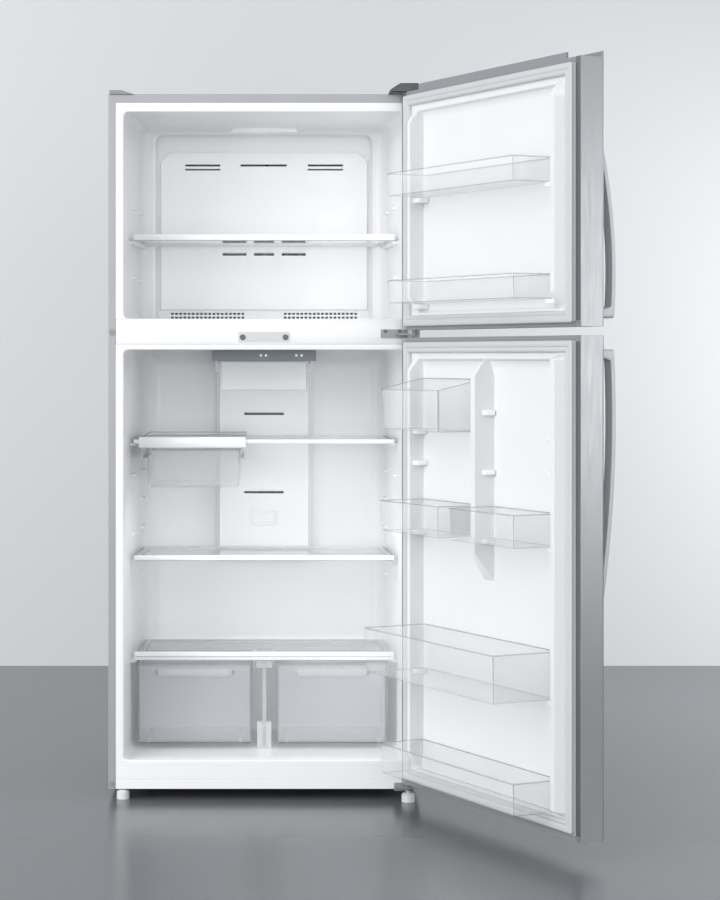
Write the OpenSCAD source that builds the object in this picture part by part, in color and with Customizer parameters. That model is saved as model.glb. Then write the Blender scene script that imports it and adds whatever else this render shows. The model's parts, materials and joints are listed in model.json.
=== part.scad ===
// Two-door top-freezer refrigerator, millimetres, +Z up.
// Origin: on the floor, under the middle of the cabinet's front flange.
// +X is the hinge side, +Y runs from the front flange to the back.

/* [Cabinet] */
// Width of the cabinet
body_w = 750; // [740:1:760]
// Depth of the cabinet without the doors
body_d = 620; // [615:1:640]
// Height of the cabinet's top above the floor
body_top = 1697; // [1697:1:1705]
// Height of the cabinet's underside above the floor
body_bottom = 25; // [24:0.5:26]
// Thickness of the sheet steel wrapper
sheet = 1.2; // [1:0.1:1.5]

/* [Compartments] */
// Half width of both openings at the front
open_half = 338; // [336:1:340]
// Half width of the compartments at their back walls
back_half = 316; // [314:1:318]
// Thickness of the moulded liners
liner_t = 2.5; // [2:0.1:3]
// Height of the fresh food floor
fridge_z0 = 94; // [93:0.5:95]
// Height of the fresh food ceiling
fridge_z1 = 1082; // [1081:0.5:1083]
// Height of the freezer floor
freezer_z0 = 1157; // [1156:0.5:1158]
// Height of the freezer ceiling
freezer_z1 = 1655; // [1654:0.5:1656]

/* [Doors] */
// Angle that both doors stand open
door_angle = 116.6; // [0:0.2:130]
// Thickness of a door at its side edges
door_t = 60; // [55:1:62]
// Gap between the cabinet flange and the back of a door
door_gap = 12; // [11:0.5:13]
// Rise of the crowned door front at its middle
crown = 6; // [4:1:10]
// Across position of the hinge pins
pivot_x = 360.3; // [358:0.1:361]
// Depth position of the hinge pins
pivot_y = -40.7; // [-42:0.1:-39]
// Radius of the hinge pins
pin_r = 5; // [4.5:0.5:5.5]

/* [Shelves and drawers] */
// Underside of the freezer shelf
freezer_shelf_z = 1352; // [1300:1:1400]
// Underside of the upper fresh food shelf
upper_shelf_z = 851; // [840:1:870]
// Underside of the lower fresh food shelf
lower_shelf_z = 562; // [540:1:580]
// Underside of the crisper cover
cover_z = 314; // [313:1:316]
// Wall thickness of the clear drawers and bins
clear_t = 2.6; // [2:0.1:3]

/* [Hidden] */
$fn = 48;
half_w = body_w / 2;
e = 0.3;                                   // clearance between pieces that move
run = 0.05;                                // radial clearance of pins and shafts
trim_w = 18;                               // visible steel edge round the opening
freezer_back = 530;
fridge_back = 520;
step_y = 410;                              // front of the compressor step
step_z = 290;                              // top of the compressor step
room_y = 424;                              // compressor room
room_z = 266;
cover_y = 446;                             // evaporator cover
panel_half = 268;
panel_z0 = 1188;
panel_z1 = 1596;
duct_half = 117;
duct_y = 468;
door_half = half_w - 2.5;
door_back = -door_gap;
door_front = door_back - door_t;
freezer_door_z = [1129, 1696];
lip_z = 1709;                              // raised front and rear lips of the freezer door
fridge_door_z = [46.5, 1110.5];
cap_t = 12;
gasket_out = 352;
gasket_in = 325;
freezer_seal_z = [1137, 1685];
fridge_seal_z = [62, 1100];
door_floor = -22;                          // recessed middle of the door liners
dike_y = 12;                               // crest of the side dikes
dike_in = 288;
rib_half = 21;                             // middle rib of the fridge door, at its root
rib_crest = 9;
rib_y = 22;
rib_z = [564, 626, 1022, 1063];            // foot, crest's two ends and point
shelf_front = 140;
shelf_back = 492;
duct_shelf_back = 464;                     // rear edge of the shelves in front of the duct
freezer_shelf_back = 436;
cover_front = 156;
ledge_reach = 15;                          // shelf ledges, out from the wall
spare_reach = 7;
ledge_h = 7;
deli = [-299, -50];                        // hanger of the deli drawer
deli_top = 838;
deli_bottom = 742;
crisper_y = [158, 402];
crisper_z = [107.5, 306];
lip_end = 340;                             // hinge side end of the front lip
rear_lip_x = [-317, 297];
edge_r = 6;                                // rounding of the door front's side edges
plate_screw_x = 51.5;
hinge_screw_x = [292, 326];
hinge_screw_z = 1126.5;
left_foot_at = [-340, 12];
right_foot_at = [345, -26];
foot_r = 15.5;
stem_r = 5;
roller_y = 585;
roller_r = 16;
axle_r = 4;
evap_fan_at = [0, 482, 1515];
cond_fan_at = [20, 525, 132];
shaft_r = 2.5;
handle_x = -338;
handle_half = 13;
handle_out = 44;
slide_gap = 0.5;

// Half width of the inside of a compartment at depth y
function inside(y) = open_half - (open_half - back_half) * y / 520;
// Half width of a shelf at depth y
function shelf_half(y) = 322 - 12 * (y - shelf_front) / 352;

// Box from one corner to the opposite corner
module block(a, b) {
    translate(a) cube([b[0] - a[0], b[1] - a[1], b[2] - a[2]]);
}
module mirrored() {
    children();
    mirror([1, 0, 0]) children();
}
// Cylinder along X or Y from a start point
module rod_x(at, length, r) {
    translate(at) rotate([0, 90, 0]) cylinder(h = length, r = r);
}
module rod_y(at, length, r) {
    translate(at) rotate([-90, 0, 0]) cylinder(h = length, r = r);
}
// Turns a closed door to the angle it stands at
module swing() {
    translate([pivot_x, pivot_y, 0]) rotate([0, 0, door_angle])
        translate([-pivot_x, -pivot_y, 0]) children();
}
// Rectangle with its two corners at low y rounded
module tray_outline(x0, x1, y0, y1, r) {
    translate([x0, y0 + r]) square([x1 - x0, y1 - y0 - r]);
    translate([x0 + r, y0]) square([x1 - x0 - 2 * r, r + 1]);
    for (x = [x0 + r, x1 - r]) translate([x, y0 + r]) circle(r = r);
}
// Tapered floor plan of a compartment, grown by g
module plan(back, g) {
    polygon([[-open_half - g, -0.01 * g], [open_half + g, -0.01 * g],
        [inside(back) + g, back + g], [-inside(back) - g, back + g]]);
}
module room(z0, z1, back, g) {
    translate([0, 0, z0 - g]) linear_extrude(z1 - z0 + 2 * g) plan(back, g);
}

// ---- Cabinet ----
module cabinet_shell() {
    color("silver") difference() {
        block([-half_w, 0, body_bottom], [half_w, body_d, body_top]);
        block([-half_w + sheet, sheet, body_bottom - 1],
            [half_w - sheet, body_d + 1, body_top - sheet]);
        block([-half_w + trim_w, -1, body_bottom - 1],
            [half_w - trim_w, 5, body_top - trim_w - 2.5]);
    }
}
module rear_panel() {
    color("silver") difference() {
        block([-half_w + sheet, body_d - sheet, room_z],
            [half_w - sheet, body_d, body_top - sheet]);
        for (z = [500, 900, 1300])
            block([-250, body_d - sheet - 1, z], [250, body_d - 0.6, z + 6]);
    }
}
module base_pan() {
    color("dimgray") difference() {
        union() {
            block([-half_w + sheet, 3, body_bottom], [half_w - sheet, body_d, body_bottom + 2]);
            mirrored() for (x = [286, 312])
                block([x, roller_y - 14, roller_r - 9], [x + 2, roller_y + 14, body_bottom + 1]);
            mirrored() block([half_w - sheet - 2, room_y, body_bottom],
                [half_w - sheet, body_d, room_z - 2]);
        }
        mirrored() rod_x([280, roller_y, roller_r], 40, axle_r + run);
        mirrored() block([289, roller_y - 20, body_bottom - 1], [311, roller_y + 20, body_bottom + 3]);
        translate([left_foot_at[0], left_foot_at[1], 0]) cylinder(h = 60, r = stem_r + run);
        for (x = [-250:40:-90]) block([x, 470, body_bottom - 1], [x + 20, 560, body_bottom + 3]);
    }
}
module cabinet_insulation() {
    color("khaki") difference() {
        block([-half_w + sheet, 2.2, body_bottom + 2.1],
            [half_w - sheet, body_d - sheet, body_top - sheet]);
        room(freezer_z0, freezer_z1, freezer_back, liner_t);
        room(fridge_z0, fridge_z1, fridge_back, liner_t);
        block([-400, room_y, 0], [400, 700, room_z]);
        translate([left_foot_at[0], left_foot_at[1], 0]) cylinder(h = 60, r = 9);
        crossbar_channel(0.1);
    }
    color("khaki") difference() {
        block([-inside(step_y), step_y + liner_t, fridge_z0],
            [inside(step_y), room_y, step_z - liner_t]);
        block([-400, room_y - 0.1, 0], [400, 700, room_z]);
    }
}
// Shelf ledges that follow both side walls from depth y0 to y1
module ledges(levels, y0, y1, reach) {
    for (z = levels) mirrored() translate([0, 0, z - ledge_h - e]) linear_extrude(ledge_h)
        polygon([[inside(y0) + 1, y0], [inside(y1) + 1, y1],
            [inside(y1) - reach, y1], [inside(y0) - reach, y0]]);
}
// Oval lamp in the freezer's ceiling, g mm larger all round
module lamp_oval(g, z, h) {
    translate([0, 413, z]) scale([(86 + g) / (22 + g), 1, 1]) cylinder(h = h, r = 22 + g);
}
module freezer_liner() {
    color("white") union() {
        difference() {
            room(freezer_z0, freezer_z1, freezer_back, liner_t);
            room(freezer_z0, freezer_z1, freezer_back, 0);
            block([-open_half, -1, freezer_z0], [open_half, 1, freezer_z1]);
            lamp_oval(2, freezer_z1 - 1, 6);
        }
        difference() {
            block([-half_w + trim_w, 0, freezer_z0 - liner_t],
                [half_w - trim_w, 2, body_top - trim_w - 2.5]);
            block([-open_half, -1, freezer_z0], [open_half, 3, freezer_z1]);
        }
        ledges([freezer_shelf_z], 150, freezer_shelf_back, ledge_reach);
        ledges([1266, 1440], 200, 250, spare_reach);
        ledges([1266, 1440], 390, freezer_shelf_back, spare_reach);
    }
}
module fridge_liner() {
    color("white") union() {
        difference() {
            room(fridge_z0, fridge_z1, fridge_back, liner_t);
            difference() {
                room(fridge_z0, fridge_z1, fridge_back, 0);
                block([-400, step_y, 0], [400, 700, step_z]);
            }
            block([-open_half, -1, fridge_z0], [open_half, 1, fridge_z1]);
            block([-400, step_y + liner_t, 0], [400, 700, step_z - liner_t]);
        }
        difference() {
            block([-half_w + trim_w, 0, fridge_z0 - liner_t],
                [half_w - trim_w, 2, fridge_z1 + 13]);
            block([-open_half, -1, fridge_z0], [open_half, 3, fridge_z1]);
        }
        ledges([upper_shelf_z, lower_shelf_z, cover_z], 165, 500, ledge_reach);
        ledges([626, 772], 200, 250, spare_reach);
        ledges([504, 626, 699, 772], 430, 490, spare_reach);
        for (x = [-290, -60, 56, 290])
            block([x - 4, 180, fridge_z0 - 1], [x + 4, step_y + 1, fridge_z0 + 13]);
    }
}
// Folded channel between the compartments, grown by g
module crossbar_channel(g) {
    difference() {
        block([-half_w + trim_w - g, -g, fridge_z1 + 13.2 - g],
            [half_w - trim_w + g, 30 + g, freezer_z0 - 2.7 + g]);
        block([-half_w, 1.6 + g, fridge_z1 + 15 + g], [half_w, 31 + g, freezer_z0 - 4.5 - g]);
    }
}
module crossbar() {
    color("white") difference() {
        crossbar_channel(0);
        for (x = [-plate_screw_x, plate_screw_x]) rod_y([x, -1, 1112], 4, 2.2);
        for (x = hinge_screw_x) rod_y([x, -1, hinge_screw_z], 4, 2.2);
    }
}
module crossbar_plate() {
    color("lightgray") difference() {
        block([-62, -2.2, 1101.5], [60, -0.02, 1125.5]);
        for (x = [-plate_screw_x, plate_screw_x]) rod_y([x, -3, 1112], 5, 2.3);
        for (x = [-plate_screw_x, plate_screw_x]) block([x - 3, -3, 1120], [x + 3, 1, 1123]);
    }
}
module base_panel() {
    color("white") difference() {
        block([-half_w + trim_w, 0, body_bottom], [half_w - trim_w, 2, fridge_z0 - 2.6]);
        for (z = [46, 78]) block([-half_w, -1, z], [half_w, 0.5, z + 2]);
    }
}
module screw_head(r) {
    rotate([90, 0, 0]) difference() {
        cylinder(h = 2.4, r1 = r, r2 = r * 0.8);
        translate([-r * 0.6, -0.6, 1.4]) cube([r * 1.2, 1.2, 2]);
        translate([-0.6, -r * 0.6, 1.4]) cube([1.2, r * 1.2, 2]);
    }
}
module screws() {
    color("gray") {
        for (x = [-plate_screw_x, plate_screw_x]) translate([x, -2.22, 1112]) screw_head(7);
        for (x = hinge_screw_x) translate([x, -3.02, hinge_screw_z]) screw_head(4);
        translate([321, -3.02, 31]) screw_head(5);
        for (at = [[320, 20], [345, 45], [350, 10]])
            translate([at[0], at[1], 1700.02]) rotate([-90, 0, 0]) screw_head(5);
    }
}
module trim_plugs() {
    color("lightgray") {
        for (z = [1124, 37]) rod_y([-366, -1.5, z], 1.48, 7.5);
        translate([-372, -6, body_top + 0.02]) difference() {
            cube([58, 70, 9.5]);
            translate([29, -1, 9.5]) rotate([0, 18, 0]) cube([60, 80, 30]);
        }
    }
}

// ---- Cold side ----
module slot_xz(x0, x1, z, h, y) {
    block([x0, y, z - h / 2], [x1, y + 30, z + h / 2]);
}
module evaporator_cover() {
    g = inside(cover_y) - 1;
    color("white") difference() {
        union() {
            block([-g, cover_y, freezer_z0 + 0.2], [g, cover_y + 2.5, freezer_z1 - 0.2]);
            difference() {
                block([-panel_half, cover_y - 8, panel_z0], [panel_half, cover_y + 1, panel_z1]);
                mirrored() translate([panel_half, 0, panel_z1]) rotate([0, 45, 0])
                    cube([34, 2000, 34], center = true);
                block([-panel_half + 3, cover_y - 5.5, panel_z0 + 3],
                    [panel_half - 3, cover_y + 3, panel_z1 - 30]);
            }
            mirrored() block([290, cover_y - 6, 1278], [306, cover_y + 1, 1298]);
        }
        block([-panel_half + 3, cover_y - 5.5, panel_z0 + 3],
            [panel_half - 3, cover_y + 4, panel_z1 - 30]);
        for (s = [[-205, -114], [-61, 59], [114, 205]]) slot_xz(s[0], s[1], 1563, 5, cover_y - 9);
        for (s = [[-205, -114], [114, 205]]) slot_xz(s[0], s[1], 1552, 4, cover_y - 9);
        for (z = [1364, 1332], s = [[-108, -46], [-26, 26], [46, 108]])
            slot_xz(s[0], s[1], z, 7, cover_y - 9);
        for (z = [1167, 1177], side = [-1, 1], i = [0:17])
            translate([side * 147 + (i - 8.5) * 10.8, 0, 0]) slot_xz(-3.4, 3.4, z, 5, cover_y - 9);
    }
}
module evaporator_coil() {
    color("silver") union() {
        for (x = [-210:30:210]) block([x, 466, 1200], [x + 1.2, 518, 1430]);
        for (z = [1215:40:1415], y = [478, 506]) rod_x([-225, y, z], 450, 4.5);
        for (y = [484, 500]) rod_x([-215, y, 1186], 430, 5);
        for (x = [-215, 210]) block([x, 470, 1180], [x + 5, 514, 1440]);
    }
}
module air_duct() {
    color("white") difference() {
        union() {
            block([-duct_half, duct_y, 542], [duct_half, fridge_back - 0.2, 1054]);
            block([-duct_half - 6, duct_y + 14, 540], [duct_half + 6, fridge_back - 0.2, 1054]);
            mirrored() block([duct_half - 2, duct_y + 6, 1024], [duct_half + 10, duct_y + 14, 1050]);
        }
        block([-duct_half + 3, duct_y + 3, 548], [duct_half - 3, fridge_back + 1, 970]);
        block([-duct_half + 6, duct_y - 1, 978], [duct_half - 6, duct_y + 24, 1050]);
        for (z = [916, 711]) slot_xz(-51, 51, z, 6, duct_y - 1);
        block([-35, duct_y - 1, 626], [35, duct_y + 2, 662]);
        mirrored() for (z = [640:60:940])
            block([duct_half - 4, duct_y + 8, z], [duct_half + 9, duct_y + 13, z + 22]);
    }
}
module control_panel() {
    color("slategray") difference() {
        union() {
            block([-128, 118, fridge_z1 - 27], [128, 124, fridge_z1 - 0.3]);
            block([-124, 124, fridge_z1 - 24], [124, duct_y - 2, fridge_z1 - 0.3]);
        }
        block([-118, 130, fridge_z1 - 20], [118, duct_y - 10, fridge_z1 - 2]);
        for (x = [-7.6, 4.7, 79.5, 92.4]) rod_y([x, 117, fridge_z1 - 13.5], 3, 3.2);
    }
}
module lamps() {
    color("ivory") {
        lamp_oval(0, freezer_z1 - 8, 10.4);
        block([-duct_half + 6.4, duct_y + 2, 978.4], [duct_half - 6.4, duct_y + 5, 1049.6]);
    }
}

// ---- Machine compartment ----
module compressor() {
    color("black") union() {
        translate([-190, 525, 50]) cylinder(h = 110, r = 78);
        translate([-190, 525, 160]) intersection() {
            sphere(r = 78);
            cylinder(h = 60, r = 90);
        }
        block([-275, 480, 42], [-105, 570, 50]);
        for (x = [-265, -115], y = [490, 560])
            translate([x, y, body_bottom + 2]) cylinder(h = 16, r = 10);
        rod_x([-115, 500, 100], 40, 5);
        rod_x([-115, 550, 120], 40, 4);
        block([-118, 510, 60], [-96, 545, 95]);
    }
}
module condenser_coil() {
    color("dimgray") union() {
        for (x = [90:24:330]) block([x, 470, 60], [x + 1.2, 590, 220]);
        for (z = [80:30:200], y = [490, 530, 570]) rod_x([80, y, z], 262, 3.5);
        for (x = [82, 338]) block([x, 466, body_bottom + 2], [x + 3, 594, 228]);
    }
    color("peru") union() {
        rod_x([100, 450, 120], 90, 9);
        rod_x([80, 450, 120], 130, 3);
    }
    color("white") difference() {
        block([-270, 455, 226], [-110, 595, 262]);
        block([-267, 458, 229], [-113, 592, 263]);
    }
}
module compressor_cover() {
    color("gray") difference() {
        block([-half_w + 3.4, body_d - sheet, body_bottom + 2.2],
            [half_w - 3.4, body_d, room_z - 0.2]);
        for (x = [-320:26:320], z = [60, 130, 200])
            block([x - 4, body_d - 3, z - 26], [x + 4, body_d + 1, z + 26]);
    }
}
module fan_motors() {
    color("dimgray") union() {
        rod_y([evap_fan_at[0], 497, evap_fan_at[2]], 30, 26);
        rod_y([evap_fan_at[0], 470, evap_fan_at[2]], 30, shaft_r);
        for (s = [-1, 1]) block([evap_fan_at[0] + s * 45 - 21, 522, evap_fan_at[2] - 8],
            [evap_fan_at[0] + s * 45 + 21, 528, evap_fan_at[2] + 8]);
    }
    color("dimgray") union() {
        rod_x([cond_fan_at[0] - 60, cond_fan_at[1], cond_fan_at[2]], 44, 28);
        rod_x([cond_fan_at[0] - 20, cond_fan_at[1], cond_fan_at[2]], 36, shaft_r);
        block([cond_fan_at[0] - 50, cond_fan_at[1] - 12, body_bottom + 2],
            [cond_fan_at[0] - 44, cond_fan_at[1] + 12, cond_fan_at[2]]);
    }
}
// Axial fan along +Z with its bore on the axis
module fan(r, n) {
    difference() {
        union() {
            translate([0, 0, -9]) cylinder(h = 18, r = 17);
            for (i = [0:n - 1]) rotate([0, 0, i * 360 / n]) translate([14, 0, 0])
                rotate([32, 0, 0]) translate([0, -15, -1]) cube([r - 14, 30, 2]);
        }
        translate([0, 0, -20]) cylinder(h = 40, r = shaft_r + run);
    }
}
module evaporator_fan() {
    color("ghostwhite") translate(evap_fan_at) rotate([-90, 0, 0]) fan(52, 5);
}
module condenser_fan() {
    color("black") translate(cond_fan_at) rotate([0, 90, 0]) fan(60, 5);
}

// ---- Hinges, feet and rollers ----
module top_hinge() {
    color("gray") union() {
        block([307, -20, body_top], [370, 60, body_top + 3]);
        block([348, pivot_y - 4, body_top], [370, -19, body_top + 3]);
        translate([pivot_x, pivot_y, body_top]) cylinder(h = 3, r = 11);
        translate([pivot_x, pivot_y, 1668]) cylinder(h = 32, r = pin_r);
    }
}
module hinge_cover() {
    color("dimgray") difference() {
        translate([0, 70, body_top + 0.1]) rotate([90, 0, 0]) linear_extrude(125)
            polygon([[300, 0], [373, 0], [373, 14], [367, 20.5], [325, 20.5], [300, 4]]);
        block([306, -53, body_top - 1], [371, 68, body_top + 10]);
        block([328, -53, body_top - 1], [366, 68, body_top + 18]);
    }
}
module middle_hinge() {
    color("gray") union() {
        difference() {
            block([281, -3, 1110], [345, 0, 1131]);
            for (x = hinge_screw_x) rod_y([x, -4, hinge_screw_z], 5, 2.3);
        }
        block([318, -44, 1117], [352, -2, 1121]);
        block([318, -50, 1117], [pivot_x, pivot_y + 9, 1121]);
        translate([pivot_x, pivot_y, 1117]) cylinder(h = 4, r = 10);
        translate([pivot_x, pivot_y, 1090]) cylinder(h = 60, r = pin_r);
    }
}
module bottom_hinge() {
    color("lightgray") difference() {
        union() {
            block([313, -3, body_bottom - 4], [337, -0.05, 40]);
            block([313, -56, 36], [372, 0, 40]);
            translate([pivot_x, pivot_y, 36]) cylinder(h = 38, r = pin_r);
            translate([right_foot_at[0], right_foot_at[1], 27]) cylinder(h = 10, r = 12);
        }
        translate([right_foot_at[0], right_foot_at[1], 20]) cylinder(h = 40, r = stem_r + run);
    }
}
module foot(at, top) {
    translate([at[0], at[1], 0]) {
        cylinder(h = 17, r = foot_r);
        translate([0, 0, 16.9]) cylinder(h = 5, r1 = foot_r, r2 = 11);
        cylinder(h = top, r = stem_r);
    }
}
module left_foot() {
    color("white") foot(left_foot_at, 55);
}
module right_foot() {
    color("white") foot(right_foot_at, 42);
}
module rear_rollers() {
    color("dimgray") union() {
        rod_x([-318, roller_y, roller_r], 636, axle_r);
        mirrored() rod_x([291, roller_y, roller_r], 18, roller_r);
    }
}

// ---- Shelves ----
module shelf_outline(front, back, inset) {
    polygon([[-shelf_half(front) + inset, front + inset], [shelf_half(front) - inset, front + inset],
        [shelf_half(back) - inset, back - inset], [-shelf_half(back) + inset, back - inset]]);
}
// Moulded frame round the glass, with a tall front bar
module shelf_frame(z, front, back, bar) {
    difference() {
        union() {
            translate([0, 0, z]) linear_extrude(9) shelf_outline(front, back, 0);
            block([-shelf_half(front), front - 4, z], [shelf_half(front), front + 14, z + bar]);
        }
        translate([0, 0, z - 1]) linear_extrude(20) shelf_outline(front + 4, back, 16);
        translate([0, 0, z + 3]) linear_extrude(4.2) shelf_outline(front + 1, back, 8);
    }
}
module shelf_glass(z, front, back) {
    translate([0, 0, z + 3.05]) linear_extrude(4.1) shelf_outline(front + 1, back, 8.05);
}
module freezer_shelf_frame() {
    color("white") shelf_frame(freezer_shelf_z, shelf_front, freezer_shelf_back, 16);
}
module freezer_shelf_glass() {
    color("lightcyan", 0.4) shelf_glass(freezer_shelf_z, shelf_front, freezer_shelf_back);
}
// The upper shelf carries the hanger of the deli drawer under its left half
module upper_shelf_frame() {
    color("white") union() {
        shelf_frame(upper_shelf_z, shelf_front, duct_shelf_back, 10);
        block([deli[0] - 10, shelf_front - 10, 841], [deli[1] + 5, shelf_front - 3.9, 867]);
        for (x = [deli[0] - 3, deli[1] + 1])
            block([x, shelf_front - 4, 812], [x + 2, 445, upper_shelf_z + 0.1]);
        block([deli[0] - 1, shelf_front + 20, 812], [deli[0] + 6, 445, 815]);
        block([deli[1] - 6, shelf_front + 20, 812], [deli[1] + 1, 445, 815]);
    }
}
module upper_shelf_glass() {
    color("lightcyan", 0.4) shelf_glass(upper_shelf_z, shelf_front, duct_shelf_back);
}
module lower_shelf_frame() {
    color("white") shelf_frame(lower_shelf_z, shelf_front + 4, duct_shelf_back, 12);
}
module lower_shelf_glass() {
    color("lightcyan", 0.4) shelf_glass(lower_shelf_z, shelf_front + 4, duct_shelf_back);
}
module crisper_cover_frame() {
    color("white") shelf_frame(cover_z, cover_front, shelf_back, 20);
}
module crisper_cover_glass() {
    color("lightcyan", 0.4) shelf_glass(cover_z, cover_front, shelf_back);
}
module crisper_divider() {
    color("white") union() {
        block([-4.5, 170, fridge_z0 + 0.1], [5.5, 396, 296]);
        block([-19.5, 164, 294], [20.5, 400, cover_z - 0.4]);
        block([-17, 160, fridge_z0 + 0.1], [18, 186, 160]);
    }
}

// ---- Drawers and bins ----
// Open tray: outer size x0..x1, y0..y1, z0..z1, rounded front corners of radius r
module tray(x0, x1, y0, y1, z0, z1, r) {
    translate([0, 0, z0]) difference() {
        linear_extrude(z1 - z0) tray_outline(x0, x1, y0, y1, r);
        translate([0, 0, clear_t]) linear_extrude(z1 - z0)
            tray_outline(x0 + clear_t, x1 - clear_t, y0 + clear_t, y1 - clear_t, r - clear_t);
    }
}
module deli_drawer() {
    x0 = deli[0] + 7;
    x1 = deli[1] - 7;
    color("lightcyan", 0.4) union() {
        tray(x0, x1, 144, 438, deli_bottom, deli_top, 8);
        for (x = [deli[0] + 0.5, x1 - 0.5])
            block([x, 150, 815 + slide_gap], [x + 7, 437, 818]);
    }
}
module crisper(x0, x1) {
    color("lightcyan", 0.4) union() {
        tray(x0, x1, crisper_y[0], crisper_y[1], crisper_z[0], crisper_z[1], 10);
        block([x0 + 44, 150, 288], [x1 - 44, 159, 291]);
        block([x0 + 44, 150, 274], [x1 - 44, 152.6, 291]);
    }
}
module left_crisper() {
    crisper(-316, -28);
}
module right_crisper() {
    crisper(30, 307);
}
// Door bin in closed-door coordinates, its front wall at depth y1
module bin(x0, x1, y1, z0, z1, r) {
    color("lightcyan", 0.4) swing() difference() {
        mirror([0, 1, 0]) tray(x0, x1, -y1, 20, z0, z1, r);
        block([x0 + 12, -21, z0 + (z1 - z0) * 0.6], [x1 - 12, -16, z1 + 1]);
    }
}
module freezer_upper_bin() {
    bin(-270, 270, 92, 1438, 1492, 14);
}
module freezer_lower_bin() {
    bin(-270, 270, 90, 1189, 1243, 14);
}
module dairy_bin() {
    color("lightcyan", 0.4) swing() difference() {
        mirror([0, 1, 0]) tray(22, 286, -101, 20, 896, 1016, 22);
        translate([0, 102, 990]) rotate([-14, 0, 0]) translate([0, -150, 0]) cube([600, 170, 60]);
        block([34, -21, 970], [274, -16, 1020]);
    }
}
module left_half_bin() {
    bin(22, 286, 101, 660, 732, 14);
}
module right_half_bin() {
    bin(-286, -22, 101, 660, 732, 14);
}
module gallon_bin() {
    bin(-279, 279, 147, 334, 438, 16);
}
module bottom_bin() {
    bin(-286, 286, 101, 95, 166, 16);
}

// ---- Doors, drawn closed and then swung ----
function crown_at(x) = crown * (1 - pow(x / door_half, 2));
// Plan of a door: crowned front with rounded side edges, flat back
module door_outline(inset) {
    half = door_half - inset;
    r = edge_r - inset;
    y = door_front + inset;
    turn = [for (a = [0:22.5:90]) [half - r + r * cos(a), y + r - r * sin(a)]];
    left = [for (p = turn) [-p[0], p[1] - 0.2 * (1 - (p[1] - y) / r)]];
    right = [for (i = [4:-1:0]) [turn[i][0], turn[i][1] - 0.2 * (1 - (turn[i][1] - y) / r)]];
    front = [for (i = [1:23]) let (x = half * (i / 12 - 1)) [x, y - crown_at(x)]];
    polygon(concat([[half, door_back - inset], [-half, door_back - inset]], left, front, right));
}
module door_panel(z) {
    difference() {
        translate([0, 0, z[0]]) linear_extrude(z[1] - z[0]) door_outline(0);
        translate([0, 0, z[0] - 1]) linear_extrude(z[1] - z[0] + 2) door_outline(sheet);
        block([-355, door_back - 3, z[0] - 1], [355, door_back + 1, z[1] + 1]);
    }
}
module pin_hole(r) {
    translate([pivot_x, pivot_y, 0]) cylinder(h = 2000, r = r);
}
module door_caps(z) {
    difference() {
        for (z0 = [z[0], z[1] - cap_t])
            translate([0, 0, z0]) linear_extrude(cap_t) door_outline(sheet + 0.02);
        pin_hole(pin_r + run);
    }
}
// Raised lip along the freezer door's front, behind its steel
module front_lip() {
    intersection() {
        translate([0, 0, freezer_door_z[1] - 1]) linear_extrude(lip_z - freezer_door_z[1])
            door_outline(sheet + 0.02);
        translate([-door_half, 0, 0]) rotate([90, 0, 90]) linear_extrude(door_half + lip_end)
            polygon([[door_front - 9, 0], [door_front - 9, lip_z], [door_front + 5, lip_z],
                [door_front + 8, lip_z - 7], [door_front + 16, freezer_door_z[1]], [door_front + 16, 0]]);
    }
}
module door_insulation(z, seal) {
    color("khaki") swing() difference() {
        translate([0, 0, z[0] + cap_t + 0.1]) linear_extrude(z[1] - z[0] - 2 * cap_t - 0.2)
            door_outline(sheet + 0.02);
        block([-400, door_back - 2.1, 0], [400, 0, 2000]);
        block([-gasket_in - 0.1, door_floor - 2.1, seal[0] + 26.9],
            [gasket_in + 0.1, 0, seal[1] - 26.9]);
        pin_hole(pin_r + 2);
    }
}
// One dike: full height, sloped at both ends and on its outer side
module dike(z0, z1) {
    intersection() {
        translate([0, 0, z0]) linear_extrude(z1 - z0) polygon([[dike_in, door_floor - 1],
            [gasket_in, door_floor - 1], [gasket_in, door_back], [gasket_in - 20, dike_y],
            [dike_in + 4, dike_y]]);
        translate([dike_in - 1, 0, 0]) rotate([90, 0, 90]) linear_extrude(60)
            polygon([[door_floor - 2, z0], [door_back, z0], [dike_y + 1, z0 + 42],
                [dike_y + 1, z1 - 42], [door_back, z1], [door_floor - 2, z1]]);
    }
}
module liner_base(z, seal) {
    z0 = seal[0] + 27;
    z1 = seal[1] - 27;
    difference() {
        union() {
            block([-354, door_back - 2, z[0] + 13], [354, door_back, z[1] - 13]);
            block([-gasket_in, door_floor - 2, z0], [gasket_in, door_back - 1, z1]);
        }
        block([-dike_in, door_floor, z0 + 5], [dike_in, 0, z1 - 12]);
    }
    mirrored() dike(z0, z1);
}
// Pairs of lugs that hold the bins, at the height of each bin's floor
module lugs(levels, reach) {
    mirrored() for (z = levels) block([reach, door_floor - 1, z - 12], [dike_in + 6, 6, z - slide_gap]);
}
// Tapered rib up the middle of the fridge door: sloped foot and pointed top
module rib() {
    root = door_floor - 1;
    intersection() {
        translate([0, 0, rib_z[0]]) linear_extrude(rib_z[3] - rib_z[0]) polygon([[-rib_half, root],
            [rib_half, root], [rib_crest, rib_y], [-rib_crest, rib_y]]);
        translate([-rib_half, 0, 0]) rotate([90, 0, 90]) linear_extrude(2 * rib_half)
            polygon([[root, rib_z[0]], [door_floor, rib_z[0]], [rib_y, rib_z[1]],
                [rib_y, rib_z[2]], [door_back, rib_z[3]], [root, rib_z[3]]]);
        translate([0, rib_y + 1, 0]) rotate([90, 0, 0]) linear_extrude(rib_y - root + 1)
            polygon([[-rib_half, rib_z[0]], [rib_half, rib_z[0]], [rib_half, rib_z[2]],
                [0, rib_z[3]], [-rib_half, rib_z[2]]]);
    }
}
module freezer_door_liner() {
    color("white") swing() union() {
        liner_base(freezer_door_z, freezer_seal_z);
        lugs([1438, 1189], 262);
    }
}
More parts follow.
